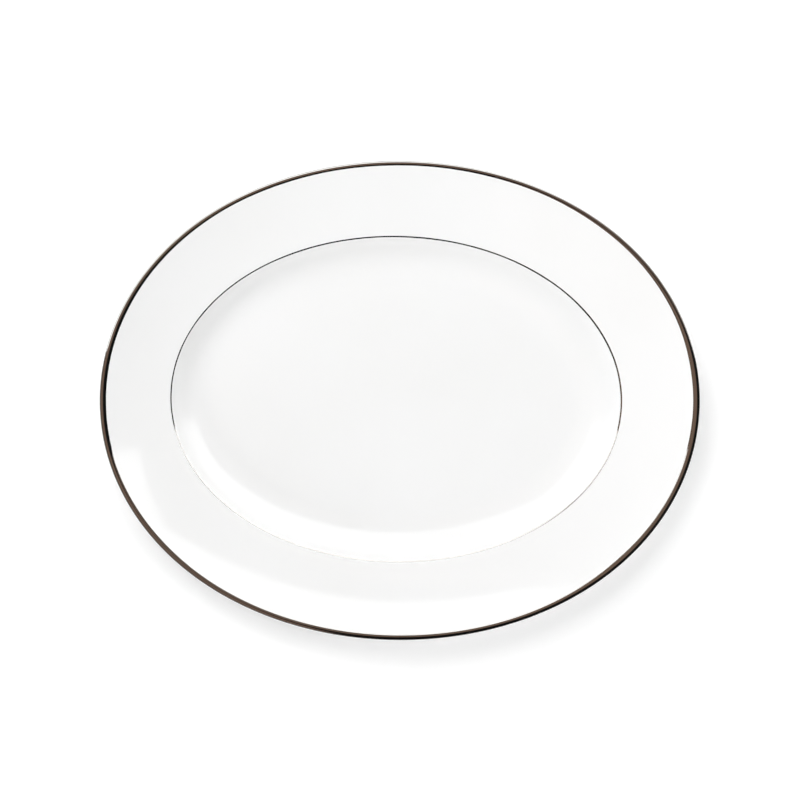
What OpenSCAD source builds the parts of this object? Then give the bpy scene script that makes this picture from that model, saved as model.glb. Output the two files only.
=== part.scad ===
// Oval serving platter in white china with a platinum edge band and a hairline at the verge.
// Millimetres. The platter stands on its foot ring at z = 0, with its long axis along x.

/* [Oval] */
// Overall length, edge to edge along the long axis
platter_l = 350; // [330:1:380]
// Overall width, edge to edge along the short axis
platter_w = 271; // [262:1:290]

/* [Rim] */
// Width of the rim, from the outer edge in to the verge where the well begins
rim_w = 41.5; // [38:0.5:50]
// Upward slope of the rim beside the verge, in degrees
verge_slope = 11; // [6:1:14]
// Upward slope of the rim where its lip begins, in degrees
edge_slope = 24; // [19:1:30]
// Thickness of the clay where the lip begins
lip_t = 1.9; // [1.7:0.1:2.6]
// Radius at which the face of the rim rolls over into the lip
roll_r = 3.6; // [3:0.1:4.5]
// Downward slope at which the roll meets the tight outer edge, in degrees
roll_drop = 12; // [6:1:14]

/* [Well] */
// Height of the verge above the floor of the well
well_depth = 12.5; // [10:0.5:16]
// Slope of the curved wall where it is steepest, just below the verge, in degrees
wall_slope = 50; // [42:1:60]
// Radius of the rounded corner at the verge
verge_r = 6; // [5.5:0.1:8]
// Thickness of the clay in the floor and in the curved wall
wall_t = 4; // [3:0.1:4.8]

/* [Foot] */
// Height of the floor's underside above the table
foot_h = 3; // [2:0.1:4]
// Distance from the edge of the flat floor out to where the foot ring's root begins
foot_out = 9.5; // [7:0.5:11]
// Width of the flat tread that the platter stands on
tread_w = 2.2; // [1.6:0.1:3]
// Height of the eased, unglazed corner on each side of the tread
tread_ease = 0.5; // [0.3:0.1:0.8]
// Radius of the hollow at each root of the foot ring
root_r = 1.2; // [0.8:0.1:1.4]
// Slope of the foot ring's sides, in degrees
flank_slope = 78; // [70:1:86]

/* [Glaze and platinum] */
// Thickness of the glaze
glaze_t = 0.2; // [0.15:0.05:0.3]
// Thickness of the fired-on platinum
metal_t = 0.12; // [0.1:0.02:0.2]
// Width of the edge band on the face of the rim, inward from the rolled lip
band_w = 0.3; // [0.2:0.1:3]
// Width of the edge band on the underside of the rim
band_under = 0.8; // [0.4:0.1:2]
// Distance from the verge down its rounded corner to the hairline
line_in = 1; // [0.4:0.1:1.2]
// Width of the hairline below the verge
line_w = 0.9; // [0.6:0.1:1.3]

/* [Hidden] */
// Roundness of every circle and sweep
$fn = 180;
// Straight steps along each curve of the section
wall_n = 10;
verge_n = 5;
line_n = 2;
crown_n = 2;
rim_n = 8;
roll_n = 6;
lip_n = 9;
root_n = 4;

// Half a turn, in degrees
half_turn = 180;

// Sections lie on a fine grid, so that those of neighbouring arcs meet exactly
grid = 0.001;
// Overlap of neighbouring sectors, so that they fuse
lap = 0.005;
function snap(v) = round(v / grid) * grid;

// Four-centre oval: the arcs meet on the long side of a 3-4-5 triangle between their centres
tri = [3, 4, 5];
half_l = 2 * snap(platter_l / 4);
half_w = 2 * snap(platter_w / 4);
tri_unit = (half_l - half_w) / (tri[0] + tri[1] - tri[2]);
end_c = tri[0] * tri_unit;
side_c = tri[1] * tri_unit;
end_r = half_l - end_c;
side_r = half_w + side_c;

// The section is drawn as [inset from the outer edge, height].
// n(a) is the unit normal of a face that rises outward at slope a.
function n(a) = [sin(a), cos(a)];
// Steps round an arc between two slopes, without its first point; a hollow curve has a negative radius
function arc(c, r, a0, a1, steps) = [for (i = [1 : steps]) c + r * n(a0 + (a1 - a0) * i / steps)];
// Angle in degrees of a length along an arc
function span(len, r) = len / r * half_turn / PI;
// Normal of the line that joins two points of the section, out of the clay
function out(p, q) = [q[1] - p[1], p[0] - q[0]] / norm(q - p);
// Normals before and after point i of a line, and the step that grows the line by one unit there
function before(p, i) = out(p[max(i, 1) - 1], p[max(i, 1)]);
function after(p, i) = out(p[min(i, len(p) - 2)], p[min(i, len(p) - 2) + 1]);
function miter(a, b) = (a + b) / (1 + a * b);
// The same line moved out of the clay by g
function grown(p, g) = [for (i = [0 : len(p) - 1]) p[i] + g * miter(before(p, i), after(p, i))];
// Points i0 to i1 of a line, and a line the other way round
function part(p, i0, i1) = [for (i = [i0 : i1]) p[i]];
function back(p) = [for (i = [len(p) - 1 : -1 : 0]) p[i]];
// A layer between two growths of a line
function layer(p, g0, g1, i0, i1) = concat(part(grown(p, g1), i0, i1), back(part(grown(p, g0), i0, i1)));

// Floor, curved wall and verge
floor_z = foot_h + wall_t;
verge = [rim_w, floor_z + well_depth];
verge_c = verge - verge_r * n(verge_slope);
wall_r = (well_depth - verge_r * (cos(verge_slope) - cos(wall_slope))) / (1 - cos(wall_slope));
wall_c = verge_c + (verge_r + wall_r) * n(wall_slope);
well_s = wall_c[0];
ring_s = well_s + wall_t;
core_s = well_s + wall_t / 2;
line_top = verge_slope + span(line_in, verge_r + glaze_t);
line_end = line_top + span(line_w, verge_r + glaze_t);

// Hollow rim, rolled lip and tight outer edge, whose underside runs on straight from the rim's
edge_k = cos(edge_slope + roll_drop);
edge_r = (lip_t - roll_r * (1 - edge_k)) / (1 + edge_k);
edge_s = edge_r + glaze_t + metal_t;
roll_s = edge_s + (roll_r - edge_r) * sin(roll_drop);
rim_run = rim_w - roll_s - roll_r * sin(edge_slope);
rim_r = rim_run / (sin(edge_slope) - sin(verge_slope));
rim_c = verge + rim_r * n(verge_slope);
roll_top = rim_c - rim_r * n(edge_slope);
roll_c = roll_top - roll_r * n(edge_slope);
edge_c = roll_c + (roll_r - edge_r) * n(-roll_drop);
band_a = edge_slope - span(band_w, rim_r);
under_end = edge_c - edge_r * n(edge_slope) + band_under * [cos(edge_slope), -sin(edge_slope)];
// Thickness of the rim at slope a, thinning from the verge to the lip
function rim_t(a) = wall_t + (lip_t - wall_t) * (a - verge_slope) / (edge_slope - verge_slope);
// Steps along the underside of the rim between two slopes
function under(a0, a1, steps) = [
  for (i = [1 : steps])
    let (a = a0 + (a1 - a0) * i / steps)
      rim_c - (rim_r + rim_t(a)) * n(a)
];

// Foot ring
foot_a = asin(foot_out / (wall_r + wall_t));
outer_c = wall_c - (wall_r + wall_t + root_r) * n(foot_a);
outer_root = outer_c + root_r * n(flank_slope);
foot_s = outer_root[0] + (outer_root[1] - tread_ease) / tan(flank_slope);
tread_s = foot_s + tread_ease;
tread_in = tread_s + tread_w;
foot_in = tread_in + tread_ease;
inner_z = foot_h - root_r * (1 - cos(flank_slope));
inner_s = foot_in + (inner_z - tread_ease) / tan(flank_slope);
inner_c = [inner_s + root_r * sin(flank_slope), foot_h - root_r];

// Glazed line of the clay, from the floor over the rim and its lip to the outside of the foot ring
face = concat(
  [[ring_s, floor_z], [well_s, floor_z]],
  arc(wall_c, -wall_r, 0, wall_slope, wall_n),
  arc(verge_c, verge_r, wall_slope, line_end, verge_n),
  arc(verge_c, verge_r, line_end, line_top, line_n),
  arc(verge_c, verge_r, line_top, verge_slope, crown_n),
  arc(rim_c, -rim_r, verge_slope, band_a, rim_n),
  [roll_top],
  arc(roll_c, roll_r, edge_slope, -roll_drop, roll_n),
  arc(edge_c, edge_r, -roll_drop, edge_slope - half_turn, lip_n),
  [under_end],
  under(edge_slope, verge_slope, rim_n),
  arc(verge_c, verge_r - wall_t, verge_slope, wall_slope, verge_n),
  arc(wall_c, -wall_r - wall_t, wall_slope, foot_a, wall_n),
  arc(outer_c, root_r, foot_a, flank_slope, root_n),
  [[foot_s, tread_ease]]
);
// Bare tread, and the glazed line inside the foot ring
tread = [[tread_s, 0], [tread_in, 0]];
base = concat(
  [[foot_in, tread_ease], [inner_s, inner_z]],
  arc(inner_c, root_r, -flank_slope, 0, root_n),
  [[ring_s, foot_h]]
);
// Where the hairline and the edge band begin and end along the face line
line_i = 1 + wall_n + verge_n;
band_i = line_i + line_n + crown_n + rim_n;
band_end = band_i + roll_n + lip_n + 2;

// Sector of the plan that belongs to the +x end arc
module end_wedge() {
  translate([end_c - lap, 0])
    polygon([[0, 0], [tri[0] * half_l, tri[1] * half_l], [tri[0] * half_l, -tri[1] * half_l]]);
}

// Sector of the plan that belongs to the +y side arc, down to the long axis
module side_wedge() {
  reach = end_c + tri[0] * half_l;
  polygon([[-end_c, 0], [end_c, 0], [reach, tri[1] * half_l], [-reach, tri[1] * half_l]]);
}

// A section line swept round an arc of the given radius
module ring(pts, r) {
  rotate([0, 0, half_turn])
    rotate_extrude()
      polygon([for (p = pts) [r - snap(p[0]), snap(p[1])]]);
}

// A section swept round the whole oval
module sweep(pts) {
  top = max([for (p = pts) p[1]]) + wall_t;
  for (m = [0, 1]) {
    mirror([m, 0, 0])
      intersection() {
        translate([end_c, 0, 0])
          ring(pts, end_r);
        translate([0, 0, -top])
          linear_extrude(2 * top)
            end_wedge();
      }
    mirror([0, m, 0])
      intersection() {
        translate([0, -side_c, 0])
          ring(pts, side_r);
        translate([0, 0, -top])
          linear_extrude(2 * top)
            side_wedge();
      }
  }
}

// Flat oval plate that fills the swept ring and laps onto its flat, between two heights
module core(z0, z1) {
  translate([0, 0, z0])
    linear_extrude(z1 - z0)
      for (m = [0, 1]) {
        mirror([m, 0])
          intersection() {
            translate([end_c, 0])
              circle(end_r - snap(core_s));
            end_wedge();
          }
        mirror([0, m])
          intersection() {
            translate([0, -side_c])
              circle(side_r - snap(core_s));
            side_wedge();
          }
      }
}

// Fired clay: well, curved wall, rim and foot ring in one piece
module china_body() {
  color("linen") {
    sweep(concat(face, tread, base));
    core(foot_h, floor_z);
  }
}

// Glaze over the well, the rim, the lip and the underside down to the foot ring
module face_glaze() {
  color("white") {
    sweep(layer(face, 0, glaze_t, 0, len(face) - 1));
    core(floor_z, floor_z + glaze_t);
  }
}

// Glaze on the underside within the foot ring
module base_glaze() {
  color("whitesmoke") {
    sweep(layer(base, 0, glaze_t, 0, len(base) - 1));
    core(foot_h - glaze_t, foot_h);
  }
}

// Platinum band wrapped over the lip
module rim_band() {
  color("dimgray")
    sweep(layer(face, glaze_t, glaze_t + metal_t, band_i, band_end));
}

// Platinum hairline where the verge turns down into the well
module verge_line() {
  color("gray")
    sweep(layer(face, glaze_t, glaze_t + metal_t, line_i, line_i + line_n));
}

china_body();
face_glaze();
base_glaze();
rim_band();
verge_line();
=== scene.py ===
"""Oval white china serving platter with a platinum edge band and a hairline at the verge."""

import math

import bpy
import numpy as np
from mathutils import Matrix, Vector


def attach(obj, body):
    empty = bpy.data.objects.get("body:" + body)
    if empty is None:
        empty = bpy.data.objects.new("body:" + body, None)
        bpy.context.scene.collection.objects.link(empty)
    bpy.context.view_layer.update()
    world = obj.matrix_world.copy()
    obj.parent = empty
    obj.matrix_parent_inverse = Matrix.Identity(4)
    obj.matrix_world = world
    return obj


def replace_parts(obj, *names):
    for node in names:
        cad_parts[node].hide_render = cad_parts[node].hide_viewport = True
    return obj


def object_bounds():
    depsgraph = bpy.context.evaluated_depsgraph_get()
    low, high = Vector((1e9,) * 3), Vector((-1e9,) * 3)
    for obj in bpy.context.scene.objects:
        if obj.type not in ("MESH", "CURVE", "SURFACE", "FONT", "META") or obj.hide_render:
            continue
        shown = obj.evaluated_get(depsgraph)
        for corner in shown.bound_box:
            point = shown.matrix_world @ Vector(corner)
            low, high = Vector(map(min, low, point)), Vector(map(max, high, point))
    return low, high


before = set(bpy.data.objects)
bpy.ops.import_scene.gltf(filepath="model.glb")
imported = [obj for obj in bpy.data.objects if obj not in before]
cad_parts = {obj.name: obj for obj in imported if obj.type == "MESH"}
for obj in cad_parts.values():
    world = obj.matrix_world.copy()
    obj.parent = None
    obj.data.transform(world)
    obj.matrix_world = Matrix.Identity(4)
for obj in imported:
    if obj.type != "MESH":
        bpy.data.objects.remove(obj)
cad_lo, cad_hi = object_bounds()

MM = 0.001
DEG = math.pi / 180

# Oval: half its size from the frame, and how far the diagonals swell beyond an ellipse
HALF_L = cad_hi.x
HALF_W = cad_hi.y
SWELL = 0.005

# Section: the sizes of the solids, but for a fuller roll, a lower hairline and thinner platinum; the band has
# a little room outside the glaze
RIM_W = 41.5 * MM
VERGE_SLOPE = 11 * DEG
EDGE_SLOPE = 24 * DEG
LIP_T = 1.9 * MM
ROLL_R = 4.1 * MM
ROLL_DROP = 12 * DEG
WELL_DEPTH = 12.5 * MM
WALL_SLOPE = 50 * DEG
VERGE_R = 6 * MM
WALL_T = 4 * MM
FOOT_H = 3 * MM
FOOT_OUT = 9.5 * MM
TREAD_W = 2.2 * MM
TREAD_EASE = 0.5 * MM
ROOT_R = 1.2 * MM
FLANK_SLOPE = 78 * DEG
GLAZE_T = 0.2 * MM
BAND_T = 0.05 * MM
BAND_ROOM = 0.08 * MM
BAND_UNDER = 0.8 * MM
LINE_T = 0.03 * MM
LINE_IN = 1.35 * MM
LINE_W = 0.9 * MM

# Thinned edges: the share of the thickness that is left there, the run over which the glaze thins at the
# foot, and powers that say how flat the middle of each film is
GLAZE_EDGE = 0.25
GLAZE_RUN = 4 * GLAZE_T
FILM_EDGE = 0.2
BAND_FLAT = 6
LINE_FLAT = 4

# Hand lining: the band is wider along the near side and at both ends, and its widest place is turned from the
# middle of that side towards +X; every edge wavers a little, in a few numbers of waves round the oval
BAND_LEAN = 0.6 * MM
LEAN_TURN = 32 * DEG
BAND_SPREAD = 0.95 * MM
WAVER = 0.03 * MM
BAND_WAVES = (7, 11, 17)
LINE_WAVES = (5, 13, 23)

# Fineness of the meshes, and the angle from which an edge is sharp
AROUND = 420
WALL_N, VERGE_N, LINE_N, CROWN_N, RIM_N, ROLL_N, LIP_N, ROOT_N = 24, 10, 6, 4, 22, 12, 18, 6
FILM_N = 40
FLOOR_N = 12
SHARP = 45 * DEG

# Camera: distance from the origin, lean of the view off the vertical, its roll, and the picture's scale with
# the origin's place in it
CAM_DIST = 3.0
LEAN_X, LEAN_Y, ROLL = -15.08 * DEG, -4.64 * DEG, -3.62 * DEG
FRAME_PX = 800
PX_PER_M = 1758
ORIGIN_PX = (390.2, 396.5)
SENSOR_MM = 36

# Floor: its side, the gap below the tread, its grey, and the glow that lifts it to white
FLOOR_SIDE = 12
FLOOR_DROP = 0.05 * MM
FLOOR_TONE = 0.9
FLOOR_GLOW = 0.2

# Softboxes that light the china without a reflection: azimuth from +X towards +Y and elevation in degrees,
# distance, width and height in metres, and radiance
SOFTBOXES = {
    "back_fill": (90, 15, 3.0, 1.0, 1.2, 2.7),
    "back_left_fill": (135, 48, 3.0, 1.8, 1.8, 6.7),
    "front_left_fill": (225, 15, 3.0, 1.0, 1.2, 11.5),
    "front_right_fill": (315, 48, 3.0, 1.8, 1.8, 1.45),
    "right_low_fill": (338, 15, 3.0, 1.0, 1.2, 5.0),
    "right_fill": (0, 48, 3.0, 1.8, 1.8, 3.05),
}

# Studio that only reflections show: a light tent behind the platter and the warm ceiling of the room, by
# their corners in plan and their heights in metres
TENT_PLAN = ((4.2, 0.6), (4.2, 2.1), (-1.1, 2.1), (-1.6, 0.25))
TENT_H = 4.1
TENT_TINT = (1, 1, 1)
TENT_RADIANCE = 2.2
CEILING_PLAN = ((2.2, 0.2), (0.62, -0.15), (0.66, -3.0), (-4.0, -0.4), (-1.7, 2.8))
CEILING_H = 3.0
CEILING_TINT = (1, 0.69, 0.53)
CEILING_RADIANCE = 0.29

# World: radiance of the white horizon and of the dim room above it, each with the sine of the elevation
# where it ends or starts
HORIZON, HORIZON_TOP = 1.0, 0.08
ROOM, ROOM_START = 0.01, 0.1


# Section lines, as [inset from the outer edge, height]

def normal(slope):
    """The unit step out of a surface that slopes towards the well."""
    return np.array([math.sin(slope), math.cos(slope)])


def arc(centre, radius, start, end, steps):
    """Points round an arc between two slopes, without the first; a hollow curve has a negative radius."""
    return [centre + radius * normal(start + (end - start) * i / steps) for i in range(1, steps + 1)]


def outward(line):
    """The step at each point of a line that grows the line out of the clay by one unit."""
    step = np.diff(line, axis=0)
    out = np.column_stack([step[:, 1], -step[:, 0]])
    out /= np.linalg.norm(out, axis=1)[:, None]
    before = np.vstack([out[:1], out])
    after = np.vstack([out, out[-1:]])
    return (before + after) / (1 + (before * after).sum(axis=1))[:, None]


def grown(line, growth):
    """The line moved out of the clay by a growth, which may differ from point to point."""
    return line + outward(line) * np.broadcast_to(growth, len(line))[:, None]


def lengths(line):
    """Distance along a line to each of its points."""
    return np.concatenate([[0], np.cumsum(np.linalg.norm(np.diff(line, axis=0), axis=1))])


floor_z = FOOT_H + WALL_T
verge = np.array([RIM_W, floor_z + WELL_DEPTH])
verge_c = verge - VERGE_R * normal(VERGE_SLOPE)
crown_h = VERGE_R * (math.cos(VERGE_SLOPE) - math.cos(WALL_SLOPE))
wall_r = (WELL_DEPTH - crown_h) / (1 - math.cos(WALL_SLOPE))
wall_c = verge_c + (VERGE_R + wall_r) * normal(WALL_SLOPE)
well_s = wall_c[0]
flat_s = well_s + WALL_T
line_top = VERGE_SLOPE + LINE_IN / (VERGE_R + GLAZE_T)
line_end = line_top + LINE_W / (VERGE_R + GLAZE_T)

edge_k = math.cos(EDGE_SLOPE + ROLL_DROP)
edge_r = (LIP_T - ROLL_R * (1 - edge_k)) / (1 + edge_k)
edge_s = edge_r + GLAZE_T + BAND_ROOM
roll_s = edge_s + (ROLL_R - edge_r) * math.sin(ROLL_DROP)
rim_run = RIM_W - roll_s - ROLL_R * math.sin(EDGE_SLOPE)
rim_r = rim_run / (math.sin(EDGE_SLOPE) - math.sin(VERGE_SLOPE))
rim_c = verge + rim_r * normal(VERGE_SLOPE)
roll_c = rim_c - (rim_r + ROLL_R) * normal(EDGE_SLOPE)
edge_c = roll_c + (ROLL_R - edge_r) * normal(-ROLL_DROP)
under_run = BAND_UNDER * np.array([math.cos(EDGE_SLOPE), -math.sin(EDGE_SLOPE)])
under_end = edge_c - edge_r * normal(EDGE_SLOPE) + under_run

foot_a = math.asin(FOOT_OUT / (wall_r + WALL_T))
outer_c = wall_c - (wall_r + WALL_T + ROOT_R) * normal(foot_a)
outer_root = outer_c + ROOT_R * normal(FLANK_SLOPE)
foot_s = outer_root[0] + (outer_root[1] - TREAD_EASE) / math.tan(FLANK_SLOPE)
tread_s = foot_s + TREAD_EASE
tread_in = tread_s + TREAD_W
foot_in = tread_in + TREAD_EASE
inner_z = FOOT_H - ROOT_R * (1 - math.cos(FLANK_SLOPE))
inner_s = foot_in + (inner_z - TREAD_EASE) / math.tan(FLANK_SLOPE)
inner_c = np.array([inner_s + ROOT_R * math.sin(FLANK_SLOPE), FOOT_H - ROOT_R])


def underside(start, end, steps):
    """The underside of the rim, which thins from the verge to the lip."""
    line = []
    for i in range(1, steps + 1):
        slope = start + (end - start) * i / steps
        thick = WALL_T + (LIP_T - WALL_T) * (slope - VERGE_SLOPE) / (EDGE_SLOPE - VERGE_SLOPE)
        line.append(rim_c - (rim_r + thick) * normal(slope))
    return line


face = np.array(
    [[flat_s, floor_z], [well_s, floor_z]]
    + arc(wall_c, -wall_r, 0, WALL_SLOPE, WALL_N)
    + arc(verge_c, VERGE_R, WALL_SLOPE, line_end, VERGE_N)
    + arc(verge_c, VERGE_R, line_end, line_top, LINE_N)
    + arc(verge_c, VERGE_R, line_top, VERGE_SLOPE, CROWN_N)
    + arc(rim_c, -rim_r, VERGE_SLOPE, EDGE_SLOPE, RIM_N)
    + arc(roll_c, ROLL_R, EDGE_SLOPE, -ROLL_DROP, ROLL_N)
    + arc(edge_c, edge_r, -ROLL_DROP, EDGE_SLOPE - math.pi, LIP_N)
    + [under_end]
    + underside(EDGE_SLOPE, VERGE_SLOPE, RIM_N)
    + arc(verge_c, VERGE_R - WALL_T, VERGE_SLOPE, WALL_SLOPE, VERGE_N)
    + arc(wall_c, -wall_r - WALL_T, WALL_SLOPE, foot_a, WALL_N)
    + arc(outer_c, ROOT_R, foot_a, FLANK_SLOPE, ROOT_N)
    + [[foot_s, TREAD_EASE]]
)
tread = np.array([[tread_s, 0], [tread_in, 0]])
base = np.array(
    [[foot_in, TREAD_EASE], [inner_s, inner_z]]
    + arc(inner_c, ROOT_R, -FLANK_SLOPE, 0, ROOT_N)
    + [[flat_s, FOOT_H]]
)

# Places in the face's line: the hairline's lower edge, the roll's start and the band's end under the lip
line_i = 1 + WALL_N + VERGE_N
roll_i = line_i + LINE_N + CROWN_N + RIM_N
under_i = roll_i + ROLL_N + LIP_N + 1


# Plan of the oval: the outer edge and its inward normals

turn = np.linspace(0, 2 * math.pi, AROUND, endpoint=False)
swell = 1 + SWELL * np.sin(2 * turn) ** 2
swell_rate = 2 * SWELL * np.sin(4 * turn)
edge = np.column_stack([HALF_L * np.cos(turn) * swell, HALF_W * np.sin(turn) * swell])
tangent = np.column_stack([
    HALF_L * (np.cos(turn) * swell_rate - np.sin(turn) * swell),
    HALF_W * (np.sin(turn) * swell_rate + np.cos(turn) * swell),
])
tangent /= np.linalg.norm(tangent, axis=1)[:, None]
inward = np.column_stack([-tangent[:, 1], tangent[:, 0]])
along = lengths(np.vstack([edge, edge[:1]]))


def ring(point):
    """A point of the section taken round the oval; it may differ from place to place."""
    inset, height = np.broadcast_to(point, (AROUND, 2)).T
    return np.column_stack([edge + inset[:, None] * inward, height])


def flat_rings(point):
    """Rings of a flat floor, from near its middle out to a point of the section."""
    rim = ring(point)
    return [np.column_stack([rim[:, :2] * i / FLOOR_N, rim[:, 2]]) for i in range(1, FLOOR_N)]


# Meshes

def add_object(name, data):
    """A new object in the scene."""
    obj = bpy.data.objects.new(name, data)
    bpy.context.scene.collection.objects.link(obj)
    return obj


def signed_volume(mesh):
    """Six times the volume inside a closed mesh, below zero where its faces look inwards."""
    mesh.calc_loop_triangles()
    tris = np.zeros(len(mesh.loop_triangles) * 3, np.int32)
    mesh.loop_triangles.foreach_get("vertices", tris)
    co = np.zeros(len(mesh.vertices) * 3, np.float32)
    mesh.vertices.foreach_get("co", co)
    a, b, c = (co.reshape(-1, 3)[tris.reshape(-1, 3)[:, i]] for i in range(3))
    return float((a * np.cross(b, c)).sum())


def mesh_piece(name, rings, mat, middles=None):
    """A closed mesh through rings of points: a loop of them, or a skin between two middle points."""
    count = len(rings)
    verts = np.vstack(rings)
    across = lengths(np.array([points[0] for points in rings + rings[:1]]))
    faces, uvs = [], []
    for i in range(count if middles is None else count - 1):
        row, next_row = i * AROUND, (i + 1) % count * AROUND
        v0, v1 = across[i], across[i + 1]
        for j in range(AROUND):
            m = (j + 1) % AROUND
            faces.append((row + j, row + m, next_row + m, next_row + j))
            uvs += [(along[j], v0), (along[j + 1], v0), (along[j + 1], v1), (along[j], v1)]
    if middles is not None:
        for middle, i, order in ((middles[0], 0, -1), (middles[1], count - 1, 1)):
            verts = np.vstack([verts, middle])
            for j in range(AROUND):
                pair = (i * AROUND + j, i * AROUND + (j + 1) % AROUND)
                faces.append((len(verts) - 1, *pair[::order]))
                uvs += [(along[j], across[i])] * 3
    mesh = bpy.data.meshes.new(name)
    mesh.from_pydata(verts.tolist(), [], faces)
    layer = mesh.uv_layers.new(name="length_width")
    layer.data.foreach_set("uv", np.array(uvs, np.float32).ravel())
    mesh.shade_smooth()
    mesh.set_sharp_from_angle(angle=SHARP)
    if signed_volume(mesh) < 0:
        mesh.flip_normals()
    mesh.materials.append(mat)
    obj = add_object(name, mesh)
    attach(obj, "root")
    return obj


# Materials

class Shader:
    """A material's node tree with its Principled shader, and short ways to add to it."""

    def __init__(self, name, **inputs):
        self.mat = bpy.data.materials.new(name)
        self.mat.use_nodes = True
        self.tree = self.mat.node_tree
        self.out = self.tree.nodes["Principled BSDF"]
        self.feed(self.out, inputs)
        self.place = self.add("ShaderNodeTexCoord")

    def feed(self, node, inputs):
        """Puts numbers, colours or links on a node's inputs, whose names are given with _ for a space."""
        for name, value in inputs.items():
            socket = node.inputs[name.replace("_", " ")]
            if isinstance(value, bpy.types.NodeSocket):
                self.tree.links.new(value, socket)
            else:
                socket.default_value = value

    def add(self, kind, **inputs):
        """A new node with these inputs."""
        node = self.tree.nodes.new(kind)
        self.feed(node, inputs)
        return node

    def noise(self, size, detail=2.0, rough=0.5, vector=None):
        """Noise with features of a given size in metres, from 0 to 1."""
        source = self.place.outputs["Object"] if vector is None else vector
        node = self.add("ShaderNodeTexNoise", Vector=source, Scale=1 / size, Detail=detail, Roughness=rough)
        return node.outputs["Fac"]

    def ranged(self, value, low, high, start=0.3, end=0.7):
        """Number that runs from low to high as the value runs from start to end."""
        node = self.add("ShaderNodeMapRange", Value=value, From_Min=start, From_Max=end)
        self.feed(node, {"To_Min": low, "To_Max": high})
        return node.outputs["Result"]

    def tones(self, value, low, high, start=0.3, end=0.7):
        """Colour that runs from low to high as the value runs from start to end."""
        node = self.add("ShaderNodeValToRGB", Fac=value)
        for stop, place, tone in zip(node.color_ramp.elements, (start, end), (low, high)):
            stop.position = place
            stop.color = (*tone, 1)
        return node.outputs["Color"]

    def bump(self, height, depth, under=None):
        """Normal of a bumpy surface with a given depth in metres, on top of another normal."""
        node = self.add("ShaderNodeBump", Height=height, Distance=depth)
        if under is not None:
            self.feed(node, {"Normal": under})
        return node.outputs["Normal"]

    def set(self, **inputs):
        """The material, with these inputs on its Principled shader."""
        self.feed(self.out, inputs)
        return self.mat


def glaze():
    """Clear gloss over white china: a faint drift in its white, and slow waves from the firing."""
    s = Shader("white_glaze", IOR=1.52)
    waves = s.bump(s.noise(30 * MM, detail=1.0), 0.02 * MM)
    peel = s.bump(s.noise(5 * MM, detail=1.0), 0.002 * MM, under=waves)
    return s.set(
        Base_Color=s.tones(s.noise(90 * MM), (0.905, 0.905, 0.9), (0.925, 0.926, 0.925)),
        Roughness=s.ranged(s.noise(20 * MM), 0.07, 0.11),
        Normal=peel,
    )


def bare_clay():
    """Unglazed clay on the tread: matt, fine-grained and rubbed a little grey."""
    s = Shader("bare_china", IOR=1.45)
    grain = s.noise(0.4 * MM, detail=3.0, rough=0.7)
    return s.set(
        Base_Color=s.tones(s.noise(6 * MM, detail=4.0), (0.72, 0.68, 0.6), (0.83, 0.8, 0.74)),
        Roughness=s.ranged(grain, 0.55, 0.8),
        Normal=s.bump(grain, 0.02 * MM),
    )


def platinum():
    """Brushed-on platinum: streaks along the line, and small rubbed places."""
    s = Shader("platinum", Metallic=1.0)
    stretched = s.add("ShaderNodeMapping", Vector=s.place.outputs["UV"], Scale=(0.02, 1, 1)).outputs["Vector"]
    streaks = s.noise(0.7 * MM, detail=3.0, rough=0.6, vector=stretched)
    return s.set(
        Base_Color=s.tones(streaks, (0.42, 0.41, 0.395), (0.49, 0.48, 0.465)),
        Roughness=s.ranged(s.noise(4 * MM, detail=3.0), 0.05, 0.1),
        Normal=s.bump(streaks, 0.002 * MM),
    )


glaze_mat = glaze()
platinum_mat = platinum()


# Pieces

def glaze_coat(name, line, middle_first):
    """A coat of glaze on a clay line that runs between a flat floor and a thinned edge at the foot ring."""
    to_edge = lengths(line)
    if middle_first:
        to_edge = to_edge[-1] - to_edge
    thick = GLAZE_T * (GLAZE_EDGE + (1 - GLAZE_EDGE) * np.clip(to_edge / GLAZE_RUN, 0, 1) ** 0.5)
    coat = grown(line, thick)
    if not middle_first:
        line, coat = line[::-1], coat[::-1]
    rings = flat_rings(coat[0]) + [ring(p) for p in coat] + [ring(p) for p in line[::-1]]
    rings += flat_rings(line[0])[::-1]
    middles = ((0, 0, coat[0][1]), (0, 0, line[0][1]))
    return mesh_piece(name, rings, glaze_mat, middles)


def film(name, start, end, drift, thick, flat):
    """A film of platinum on the glaze between two lengths along it, thinning to both of its edges.

    A drift widens the film at its start, which is the edge nearer to the well.
    """
    first = start - drift
    share = np.linspace(0, 1, FILM_N + 1)
    at = first[:, None] + (end - first)[:, None] * share
    low = np.stack([np.interp(at, skin_at, skin[:, k]) for k in (0, 1)], axis=2)
    step = np.stack([np.interp(at, skin_at, outward(skin)[:, k]) for k in (0, 1)], axis=2)
    crown = FILM_EDGE + (1 - FILM_EDGE) * (1 - np.abs(2 * share - 1) ** flat)
    high = low + thick * crown[:, None] * step
    rings = [ring(high[:, i]) for i in range(FILM_N + 1)]
    rings += [ring(low[:, i]) for i in range(FILM_N, -1, -1)]
    return mesh_piece(name, rings, platinum_mat)


def waver(waves):
    """Slow unevenness of a hand-lined edge, from a few numbers of waves round the oval."""
    return WAVER * sum(np.sin(count * turn + count) for count in waves)


clay_rings = flat_rings(face[0]) + [ring(p) for p in np.vstack([face, tread, base])]
clay_rings += flat_rings(base[-1])[::-1]
clay_middles = ((0, 0, floor_z), (0, 0, FOOT_H))
clay = mesh_piece("china_body_smooth", clay_rings, bare_clay(), clay_middles)
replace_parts(clay, "china_body")

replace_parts(glaze_coat("face_glaze_smooth", face, True), "face_glaze")
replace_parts(glaze_coat("base_glaze_smooth", base, False), "base_glaze")

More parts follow.
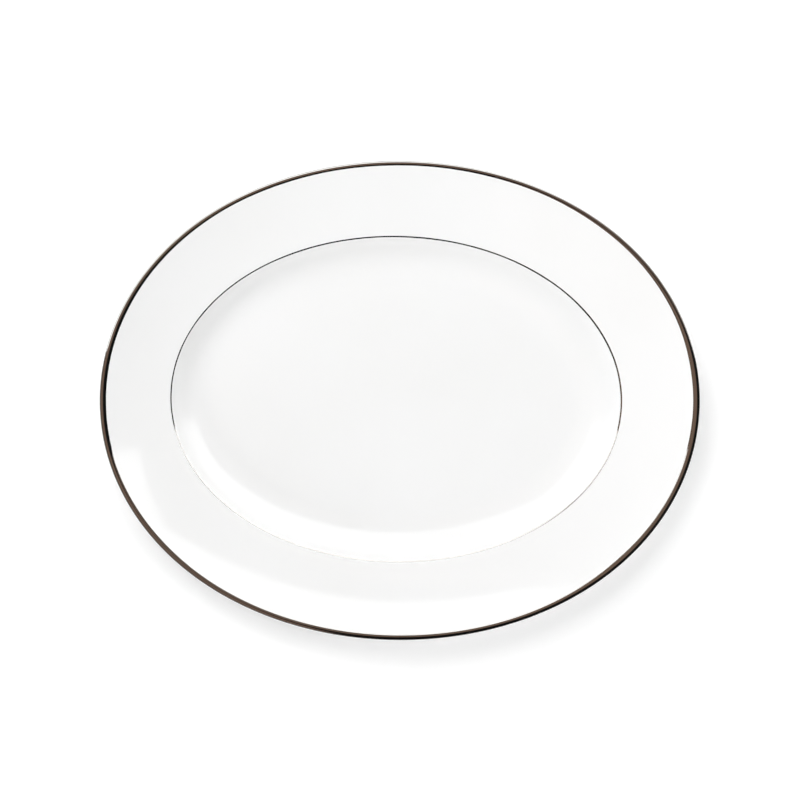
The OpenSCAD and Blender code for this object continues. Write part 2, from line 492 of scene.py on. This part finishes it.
skin = grown(face, GLAZE_T)
skin_at = lengths(skin)
band_ends = np.cos(turn) ** 4 - np.mean(np.cos(turn) ** 4)
band_drift = BAND_SPREAD * band_ends - BAND_LEAN * np.sin(turn - LEAN_TURN) + waver(BAND_WAVES)
band = film("rim_band_smooth", skin_at[roll_i], skin_at[under_i], band_drift, BAND_T, BAND_FLAT)
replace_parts(band, "rim_band")
line_drift = waver(LINE_WAVES)
line_from, line_to = skin_at[line_i], skin_at[line_i + LINE_N]
hairline = film("verge_line_smooth", line_from, line_to, line_drift, LINE_T, LINE_FLAT)
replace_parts(hairline, "verge_line")


# Floor, light and camera

def white_floor():
    """Pale floor that takes shadows, lifted to white for the camera and in reflections."""
    mat = bpy.data.materials.new("white_floor")
    mat.use_nodes = True
    nodes, links = mat.node_tree.nodes, mat.node_tree.links
    nodes.clear()
    out = nodes.new("ShaderNodeOutputMaterial")
    both = nodes.new("ShaderNodeAddShader")
    lit = nodes.new("ShaderNodeBsdfDiffuse")
    lit.inputs["Color"].default_value = (FLOOR_TONE, FLOOR_TONE, FLOOR_TONE, 1)
    glow = nodes.new("ShaderNodeEmission")
    path = nodes.new("ShaderNodeLightPath")
    seen = path.outputs["Is Camera Ray"]
    for kind in ("Is Glossy Ray", "Is Transmission Ray"):
        most = nodes.new("ShaderNodeMath")
        most.operation = "MAXIMUM"
        links.new(seen, most.inputs[0])
        links.new(path.outputs[kind], most.inputs[1])
        seen = most.outputs[0]
    share = nodes.new("ShaderNodeMath")
    share.operation = "MULTIPLY"
    share.inputs[1].default_value = FLOOR_GLOW
    links.new(seen, share.inputs[0])
    links.new(share.outputs[0], glow.inputs["Strength"])
    links.new(lit.outputs[0], both.inputs[0])
    links.new(glow.outputs[0], both.inputs[1])
    links.new(both.outputs[0], out.inputs["Surface"])
    return mat


def sheet_glow(name, tint, radiance):
    """Even glow without any shade."""
    mat = bpy.data.materials.new(name)
    mat.use_nodes = True
    nodes, links = mat.node_tree.nodes, mat.node_tree.links
    nodes.clear()
    out = nodes.new("ShaderNodeOutputMaterial")
    glow = nodes.new("ShaderNodeEmission")
    glow.inputs["Color"].default_value = (*tint, 1)
    glow.inputs["Strength"].default_value = radiance
    links.new(glow.outputs[0], out.inputs["Surface"])
    return mat


def staged(name, verts, faces, mat):
    """A mesh of the studio, which isn't part of the platter."""
    mesh = bpy.data.meshes.new(name)
    mesh.from_pydata(verts, [], faces)
    mesh.materials.append(mat)
    obj = add_object(name, mesh)
    return obj


def sheet(name, verts, faces, tint, radiance):
    """A glowing sheet of the studio that only reflections show."""
    obj = staged(name, verts, faces, sheet_glow(name, tint, radiance))
    obj.visible_camera = False
    obj.visible_diffuse = False
    obj.visible_shadow = False


def softbox(name, azimuth, elevation, distance, width, height, radiance):
    """An area lamp that looks at the origin."""
    light = bpy.data.lights.new(name, "AREA")
    light.shape = "RECTANGLE"
    light.size = height
    light.size_y = width
    light.energy = math.pi * width * height * radiance
    lamp = add_object(name, light)
    turned = Matrix.Rotation(azimuth * DEG, 4, "Z") @ Matrix.Rotation((90 - elevation) * DEG, 4, "Y")
    lamp.matrix_world = turned @ Matrix.Translation((0, 0, distance))
    lamp.visible_camera = False
    lamp.visible_glossy = False


def room():
    """World that is dim, and white at the horizon."""
    world = bpy.data.worlds.new("studio")
    world.use_nodes = True
    nodes, links = world.node_tree.nodes, world.node_tree.links
    toward = nodes.new("ShaderNodeTexCoord")
    split = nodes.new("ShaderNodeSeparateXYZ")
    links.new(toward.outputs["Generated"], split.inputs[0])
    ramp = nodes.new("ShaderNodeValToRGB")
    links.new(split.outputs["Z"], ramp.inputs["Fac"])
    levels = ((HORIZON_TOP, HORIZON), (ROOM_START, ROOM))
    for stop, (height, level) in zip(ramp.color_ramp.elements, levels):
        stop.position = height
        stop.color = (level, level, level, 1)
    links.new(ramp.outputs["Color"], nodes["Background"].inputs["Color"])
    return world


def leaning_view(lean_x, lean_y, roll):
    """Rows are the camera's right, up and back directions for a view down the z axis that leans and rolls."""
    about_y = Matrix.Rotation(lean_x, 3, "Y").transposed()
    about_x = Matrix.Rotation(-lean_y, 3, "X")
    return Matrix.Rotation(roll, 3, "Z") @ about_x @ about_y


corner = FLOOR_SIDE / 2
floor_plan = ((-corner, -corner), (corner, -corner), (corner, corner), (-corner, corner))
staged("floor", [(x, y, -FLOOR_DROP) for x, y in floor_plan], [(0, 1, 2, 3)], white_floor())

for name, settings in SOFTBOXES.items():
    softbox(name, *settings)

tent_verts = [(*foot, height) for foot in TENT_PLAN for height in (0, TENT_H)]
tent_faces = [(i, i + 2, i + 3, i + 1) for i in range(0, len(tent_verts) - 2, 2)]
sheet("tent", tent_verts, tent_faces, TENT_TINT, TENT_RADIANCE)
ceiling_verts = [(*spot, CEILING_H) for spot in CEILING_PLAN]
sheet("ceiling", ceiling_verts, [tuple(range(len(CEILING_PLAN)))], CEILING_TINT, CEILING_RADIANCE)

bpy.context.scene.world = room()

axes = leaning_view(LEAN_X, LEAN_Y, ROLL)
right, up, back = axes
offset_x = (FRAME_PX / 2 - ORIGIN_PX[0]) / PX_PER_M
offset_y = (ORIGIN_PX[1] - FRAME_PX / 2) / PX_PER_M
lens = bpy.data.cameras.new("camera")
lens.sensor_width = SENSOR_MM
lens.lens = PX_PER_M * CAM_DIST * SENSOR_MM / FRAME_PX
camera = add_object("camera", lens)
stand = back * CAM_DIST + right * offset_x + up * offset_y
camera.matrix_world = Matrix.Translation(stand) @ axes.transposed().to_4x4()
bpy.context.scene.camera = camera

bpy.context.scene.view_settings.view_transform = "Standard"

bpy.context.view_layer.update()
